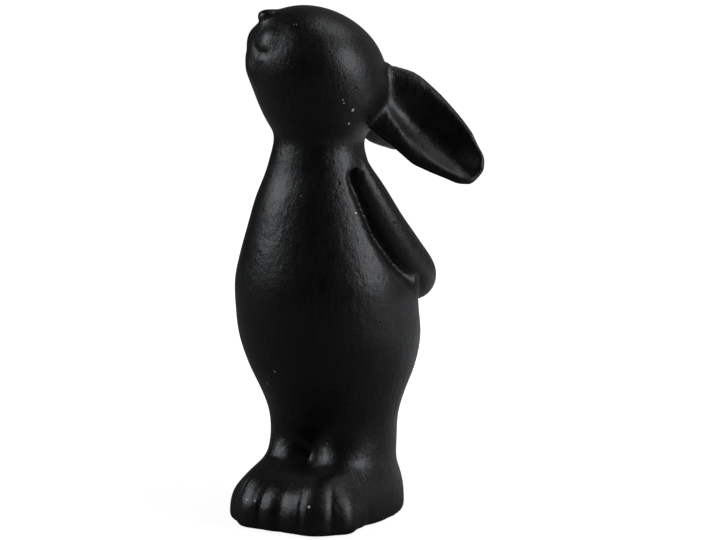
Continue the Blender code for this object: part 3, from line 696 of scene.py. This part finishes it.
figure = joined(castings, "figure_form")
for tool in tools:
    bpy.data.objects.remove(tool, do_unlink=True)
even = figure.modifiers.new("even", "REMESH")
even.mode = "VOXEL"
even.voxel_size = VOXEL * MM
even.use_smooth_shade = True
skin = bpy.data.meshes.new_from_object(figure.evaluated_get(bpy.context.evaluated_depsgraph_get()))
bpy.data.objects.remove(figure, do_unlink=True)

points = np.empty(len(skin.vertices) * 3)
skin.vertices.foreach_get("co", points)
points = points.reshape(-1, 3)
edges = np.empty(len(skin.edges) * 2, int)
skin.edges.foreach_get("vertices", edges)
edges = edges.reshape(-1, 2)
ends = np.concatenate([edges[:, 0], edges[:, 1]])
others = np.concatenate([edges[:, 1], edges[:, 0]])
neighbours = np.bincount(ends, minlength=len(points))[:, None]


def neighbour_mean(values):
    """The mean over each point's neighbours."""
    total = [np.bincount(ends, column[others], len(values)) for column in values.T]
    return np.stack(total, axis=1) / neighbours


def ease(points, amount, rounds):
    """Moves each point towards its neighbours' mean by its own amount, some rounds over."""
    for _ in range(rounds):
        points = points + amount * (neighbour_mean(points) - points)
    return points


def near(points, spot, radius):
    """1 at a spot, falling smoothly to 0 at a distance, in mm."""
    away = np.linalg.norm(points / MM - np.array(spot), axis=1)
    return np.clip(1 - (away / radius) ** 2, 0, 1)[:, None] ** 2


def band(heights, middle, half):
    """1 at a height, falling evenly to 0 at a distance above and below, in mm."""
    return np.clip(1 - np.abs(heights - middle) / half, 0, 1)


def ramp(values, start, over):
    """0 at a start, rising evenly to 1 over a span, or falling from 1 where the span is negative."""
    return np.clip((values - start) / over, 0, 1)


for _ in range(EVENING_ROUNDS):
    points = ease(points, EVENING_STEP, 1)
    points = ease(points, -EVENING_STEP, 1)
heights = points[:, 2:] / MM
eased = band(heights, *NECK_BAND)
for shoulder in SHOULDERS:
    eased = eased + near(points, shoulder, SHOULDER_REACH)
for row, (height, edge_x, edge_y, _, _, bottom_x, bottom_y) in enumerate(HOLLOW):
    for side in SIDES:
        edge = (side * edge_x, edge_y, height)
        if row < CRISP_ROWS:
            eased += CRISP_SHARE * near(points, edge, CRISP_REACH)
        else:
            eased += near(points, edge, EDGE_REACH)
            eased += near(points, (side * bottom_x, bottom_y, height), BOTTOM_REACH)
for side in SIDES:
    ear_joint, cheek_side = posed(np.array([EAR_JOINT, CHEEK_SIDE]) * (side, 1, 1)) / MM
    ear_share = EAR_JOINT_SHARE * near(points, ear_joint, EAR_JOINT_REACH)
    eased += ear_share + CHEEK_SIDE_SHARE * near(points, cheek_side, CHEEK_SIDE_REACH)
    for height in FOOT_SIDE_HEIGHTS:
        eased += near(points, (side * FOOT_SIDE[0], FOOT_SIDE[1], height), FOOT_SIDE_REACH)
eased += band(heights, *ANKLE_BAND)
points = ease(points, EASING_STEP * np.clip(eased, 0, 1), EASING_ROUNDS)
points = ease(points, LAST_STEP, LAST_ROUNDS)

straight = np.array(Matrix.Rotation(HEAD_TURN, 3, "Z"))
own = (points - np.array(HEAD_MIDDLE)) @ straight / MM
on_face = np.where((own[:, 1] < FACE_FRONT) & (own[:, 2] > 0))[0]
face = own[on_face]
away = np.full(len(face), np.inf)
for start, step in zip(SMILE[:-1], np.diff(SMILE, axis=0)):
    t = np.clip((face - start) @ step / step.dot(step), 0, 1)
    away = np.minimum(away, np.linalg.norm((face - start - t[:, None] * step) * ACROSS_SMILE, axis=1))
inward = -face / np.linalg.norm(face, axis=1)[:, None]
aside = np.abs(face[:, 0])
fade_from, fade_to, fade_over = SMILE_FADES
shown = ramp(aside, fade_from, fade_over) * ramp(aside, fade_to, -fade_over)
shown = shown * np.where(face[:, 0] < 0, FAR_HALF, 1.0)
groove = SMILE_GROOVE[0] * np.exp(-((away / SMILE_GROOVE[1]) ** 2))
lip = SMILE_LIP[0] * np.exp(-(((away - LIP_AWAY) / SMILE_LIP[1]) ** 2))
moved = face + inward * (shown * (groove - lip))[:, None]
points[on_face] = moved @ straight.T * MM + np.array(HEAD_MIDDLE)

x, y, z = points.T / MM
away = np.hypot(x, y)
fade = ramp(z, *TOE_LINES_LOW) * ramp(z, *TOE_LINES_HIGH) * ramp(away, *TOE_LINES_OUT)
press = np.zeros(len(points))
for out_turn, width, depth in TOE_LINES:
    across = away * np.sin(np.arctan2(x, -y) - math.radians(out_turn))
    press += depth * np.exp(-((across / width) ** 2))
on_foot = (z < TOE_LINES_HIGH[0]) & (y < FEET_FRONT)
points[:, :2] -= points[:, :2] * np.where(on_foot, fade * press / away, 0)[:, None]
points += np.array(MIDDLE)
skin.vertices.foreach_set("co", points.ravel())
skin.update()


def part_of(name, upper):
    """The joined skin above or below the neck joint, closed with a flat face there."""
    bm = bmesh.new()
    bm.from_mesh(skin)
    cut = bmesh.ops.bisect_plane(
        bm,
        geom=[*bm.verts, *bm.edges, *bm.faces],
        plane_co=(0, 0, NECK_HEIGHT),
        plane_no=(0, 0, 1),
        clear_inner=upper,
        clear_outer=not upper,
    )
    lips = [e for e in cut["geom_cut"] if isinstance(e, bmesh.types.BMEdge)]
    bmesh.ops.triangle_fill(bm, edges=lips, use_beauty=True)
    bmesh.ops.triangulate(bm, faces=bm.faces)
    for face in bm.faces:
        face.smooth = True
    for lip in lips:
        lip.smooth = False
    mesh = bpy.data.meshes.new(name)
    bm.to_mesh(mesh)
    bm.free()
    return add_object(name, mesh)


head_and_ears = part_of("head_and_ears", True)
body_and_arms = part_of("body_and_arms", False)


# Cast grain: air pinholes about a millimetre across, a fine orange-peel skin, and faint streaks down
# the form where it was rubbed. It puts out a height, and masks of the pits and of the streaks.
PIT_CELLS = 240.0
PIT_SHARE = 0.06
PIT_EDGE = (0.22, 0.08)
PIT_DEPTH = -0.9
RAGGED_SCALE = 900.0
RAGGED_REACH = 0.18
STREAK_STRETCH = (1.0, 1.0, 0.16)
STREAK_SCALE = 620.0
STREAK_HEIGHT = 0.09
PEEL_SCALE = 300.0
PEEL_HEIGHT = 0.7
SWELL_SCALE = 70.0


def noise(tree, where, scale, detail, roughness=0.5):
    """The value of a Noise Texture node over a place socket."""
    node = tree.nodes.new("ShaderNodeTexNoise")
    node.inputs["Scale"].default_value = scale
    node.inputs["Detail"].default_value = detail
    node.inputs["Roughness"].default_value = roughness
    tree.links.new(where, node.inputs["Vector"])
    return node.outputs[0]


grain = bpy.data.node_groups.new("cast_grain", "ShaderNodeTree")
grain.interface.new_socket(name="Vector", in_out="INPUT", socket_type="NodeSocketVector")
for socket in ("Height", "Pits", "Streak"):
    grain.interface.new_socket(name=socket, in_out="OUTPUT", socket_type="NodeSocketFloat")
place = grain.nodes.new("NodeGroupInput").outputs["Vector"]
result = grain.nodes.new("NodeGroupOutput")

cells = grain.nodes.new("ShaderNodeTexVoronoi")
cells.inputs["Scale"].default_value = PIT_CELLS
grain.links.new(place, cells.inputs["Vector"])
ragged = noise(grain, place, RAGGED_SCALE, 2.0)
uneven = arithmetic(grain, "MULTIPLY_ADD", ragged, RAGGED_REACH, -RAGGED_REACH / 2)
edge = arithmetic(grain, "ADD", cells.outputs["Distance"], uneven)
parted = grain.nodes.new("ShaderNodeSeparateColor")
grain.links.new(cells.outputs["Color"], parted.inputs[0])
few = arithmetic(grain, "LESS_THAN", parted.outputs[0], PIT_SHARE)
pits = arithmetic(grain, "MULTIPLY", remap(grain, edge, *PIT_EDGE, smooth=True), few)

stretched = grain.nodes.new("ShaderNodeVectorMath")
stretched.operation = "MULTIPLY"
stretched.inputs[1].default_value = STREAK_STRETCH
grain.links.new(place, stretched.inputs[0])
scuffs = noise(grain, stretched.outputs[0], STREAK_SCALE, 3.0, 0.6)
streak = remap(grain, scuffs, 0.4, 0.68)
peel = noise(grain, place, PEEL_SCALE, 5.0, 0.66)
swell = noise(grain, place, SWELL_SCALE, 2.0)

height = arithmetic(grain, "MULTIPLY_ADD", peel, PEEL_HEIGHT, swell)
height = arithmetic(grain, "MULTIPLY_ADD", streak, STREAK_HEIGHT, height)
height = arithmetic(grain, "MULTIPLY_ADD", pits, PIT_DEPTH, height)
grain.links.new(height, result.inputs["Height"])
grain.links.new(pits, result.inputs["Pits"])
grain.links.new(streak, result.inputs["Streak"])


# Satin black paint, sprayed over the castings, with a faint blue-grey where it is rubbed, and a few chips
# that show the white filler. It covers the head with its ears, and the body with its arms.
PAINT_DEEP = (0.0020, 0.0021, 0.0023)
PAINT_THIN = (0.0048, 0.0050, 0.0056)
PAINT_RUBBED = (0.0075, 0.0077, 0.0085)
FILLER_WHITE = (0.62, 0.62, 0.60)
# Each chip: its place before the figure is moved to the middle, and its radius.
CHIPS = (
    (22.6, -29.4, 178.6, 0.34),
    (22.6, -28.7, 177.3, 0.3),
    (24.3, -24.5, 174.2, 0.62),
    (21.6, -23.1, 168.4, 0.5),
    (25.0, -23.3, 132.2, 0.42),
    (-6.9, -35.4, 65.4, 0.45),
    (-13.8, -46.3, 12.4, 0.45),
    (-9.8, -46.4, 12.5, 0.4),
    (15.9, -45.4, 13.1, 0.55),
    (-14.5, -29.5, 58.7, 0.3),
    (-14.3, -29.4, 58.0, 0.3),
)
CHIP_EDGE = (1.5, 1.2)
CHIP_RAGGEDNESS = 0.8
PIT_DULLNESS = 0.25


def finish_material(name, base, roughness, specular):
    """A Principled material with flat values on its sockets; returns it with its tree and shader."""
    made = bpy.data.materials.new(name)
    made.use_nodes = True
    shader = made.node_tree.nodes["Principled BSDF"]
    shader.inputs["Base Color"].default_value = (*base, 1)
    shader.inputs["Roughness"].default_value = roughness
    shader.inputs["Specular IOR Level"].default_value = specular
    return made, made.node_tree, shader


def blend(tree, share, first, second):
    """The output of a colour Mix node over a share and two colours or sockets."""
    node = tree.nodes.new("ShaderNodeMix")
    node.data_type = "RGBA"
    tree.links.new(share, node.inputs[0])
    for socket, colour in ((node.inputs[6], first), (node.inputs[7], second)):
        if isinstance(colour, tuple):
            socket.default_value = (*colour, 1)
        else:
            tree.links.new(colour, socket)
    return node.outputs[2]


def raise_skin(tree, shader, height, strength, distance):
    """Gives a shader the normal of a Bump node over a height socket."""
    node = tree.nodes.new("ShaderNodeBump")
    node.inputs["Strength"].default_value = strength
    node.inputs["Distance"].default_value = distance
    tree.links.new(height, node.inputs["Height"])
    tree.links.new(node.outputs[0], shader.inputs["Normal"])


paint, tree, shader = finish_material("satin_black_paint", (0.008, 0.008, 0.009), 0.32, 0.45)
place = tree.nodes.new("ShaderNodeTexCoord").outputs["Object"]
surface = tree.nodes.new("ShaderNodeGroup")
surface.node_tree = grain
tree.links.new(place, surface.inputs["Vector"])
cloud = noise(tree, place, 38.0, 5.0, 0.6)
colour = blend(tree, remap(tree, cloud, 0.35, 0.7), PAINT_DEEP, PAINT_THIN)
colour = blend(tree, surface.outputs["Streak"], colour, PAINT_RUBBED)
dull = remap(tree, cloud, 0.3, 0.7, 0.30, 0.40)
duller = arithmetic(tree, "MULTIPLY_ADD", surface.outputs["Pits"], PIT_DULLNESS, dull)
tree.links.new(duller, shader.inputs["Roughness"])
raise_skin(tree, shader, surface.outputs["Height"], 0.5, 0.0009)

nearest = None
for *chip, size in CHIPS:
    spot = np.array(chip) * MM + np.array(MIDDLE)
    away = vector_value(tree, "DISTANCE", place, spot.tolist())
    share = arithmetic(tree, "DIVIDE", away, size * MM)
    nearest = arithmetic(tree, "MINIMUM", share, nearest) if nearest is not None else share
ragged = noise(tree, place, 1800.0, 1.0)
uneven = arithmetic(tree, "MULTIPLY_ADD", ragged, CHIP_RAGGEDNESS, nearest)
colour = blend(tree, remap(tree, uneven, *CHIP_EDGE), colour, FILLER_WHITE)
tree.links.new(colour, shader.inputs["Base Color"])

head_and_ears.data.materials.append(paint)
body_and_arms.data.materials.append(paint)
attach(head_and_ears, "root")
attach(body_and_arms, "root")
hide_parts("head_casting", "left_ear", "right_ear")
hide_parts("body_casting", "left_arm", "right_arm")


# The eyes: two small glossy black beads, pressed half way into the head. They sit on the painted skin
# where the photograph shows them, which is a little further out, back and down than in the frame.
BEAD_SHARE = 0.5
BEAD_PROUD = 0.35 * MM
BEAD_OUT = 0.8
BEAD_BACK = 1.5
BEAD_DOWN = -1.75

bead, tree, shader = finish_material("bead_gloss_black", (0.006, 0.006, 0.007), 0.14, 0.5)
place = tree.nodes.new("ShaderNodeTexCoord").outputs["Object"]
smear = noise(tree, place, 700.0, 3.0)
tree.links.new(remap(tree, smear, 0.3, 0.7, 0.22, 0.3), shader.inputs["Roughness"])
skull_middle = HEAD_MIDDLE + MIDDLE
for word, side in (("left", 1), ("right", -1)):
    low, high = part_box(word + "_eye")
    shift = Matrix.Rotation(HEAD_TURN, 3, "Z") @ Vector((side * BEAD_OUT, BEAD_BACK, BEAD_DOWN)) * MM
    aim = np.array((low + high) / 2 + shift)
    seat = Vector(points[np.argmin(np.linalg.norm(points - aim, axis=1))])
    centre = seat + (seat - skull_middle).normalized() * BEAD_PROUD
    size = (high - low) / 2 * BEAD_SHARE
    bm = bmesh.new()
    bmesh.ops.create_icosphere(bm, subdivisions=4, radius=1.0)
    bm.transform(Matrix.Translation(centre) @ Matrix.Diagonal((*size, 1)))
    for face in bm.faces:
        face.smooth = True
    mesh = bpy.data.meshes.new(word + "_eye_bead")
    bm.to_mesh(mesh)
    bm.free()
    eye = add_object(word + "_eye_bead", mesh)
    eye.data.materials.append(bead)
    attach(eye, "root")
    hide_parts(word + "_eye")


# The felt pads, punched from black wool felt and glued into the sole's four recesses. They keep the
# figure off the shelf.
PADS = ("left_toe_pad", "left_heel_pad", "right_toe_pad", "right_heel_pad")
FELT_DEEP = (0.010, 0.010, 0.010)
FELT_LIGHT = (0.035, 0.035, 0.037)


def coat(node, material):
    """Gives a piece of the frame this one material."""
    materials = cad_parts[node].data.materials
    materials.clear()
    materials.append(material)


felt, tree, shader = finish_material("black_felt", (0.02, 0.02, 0.02), 0.95, 0.2)
shader.inputs["Sheen Weight"].default_value = 0.4
place = tree.nodes.new("ShaderNodeTexCoord").outputs["Object"]
fibre = noise(tree, place, 2600.0, 5.0, 0.7)
wool = blend(tree, remap(tree, fibre, 0.35, 0.65), FELT_DEEP, FELT_LIGHT)
tree.links.new(wool, shader.inputs["Base Color"])
raise_skin(tree, shader, fibre, 0.8, 0.0004)
for node in PADS:
    coat(node, felt)


# The plug that closes the pour hole in the sole, moulded in black rubber and pushed in. Its skin has
# a dusty bloom.
RUBBER_DEEP = (0.018, 0.018, 0.018)
RUBBER_BLOOM = (0.055, 0.055, 0.053)

rubber, tree, shader = finish_material("plug_rubber", (0.03, 0.03, 0.03), 0.6, 0.4)
place = tree.nodes.new("ShaderNodeTexCoord").outputs["Object"]
dust = noise(tree, place, 420.0, 5.0, 0.65)
bloom = blend(tree, remap(tree, dust, 0.4, 0.75), RUBBER_DEEP, RUBBER_BLOOM)
tree.links.new(bloom, shader.inputs["Base Color"])
tree.links.new(remap(tree, dust, 0.3, 0.7, 0.5, 0.78), shader.inputs["Roughness"])
raise_skin(tree, shader, dust, 0.3, 0.0003)
coat("base_plug", rubber)


# The pins that hold the ears and the arms: cut lengths of drawn steel wire, faintly scored and
# tarnished, glued in blind holes.
PINS = ("left_ear_pin", "right_ear_pin", "left_arm_pin", "right_arm_pin")
STEEL_DARK = (0.42, 0.42, 0.43)
STEEL_LIGHT = (0.60, 0.61, 0.63)

steel, tree, shader = finish_material("steel_wire", (0.52, 0.53, 0.55), 0.35, 0.5)
shader.inputs["Metallic"].default_value = 1.0
place = tree.nodes.new("ShaderNodeTexCoord").outputs["Object"]
drawn = noise(tree, place, 1500.0, 3.0)
tree.links.new(remap(tree, drawn, 0.3, 0.7, 0.25, 0.5), shader.inputs["Roughness"])
tree.links.new(blend(tree, drawn, STEEL_DARK, STEEL_LIGHT), shader.inputs["Base Color"])
for node in PINS:
    coat(node, steel)

low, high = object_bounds()
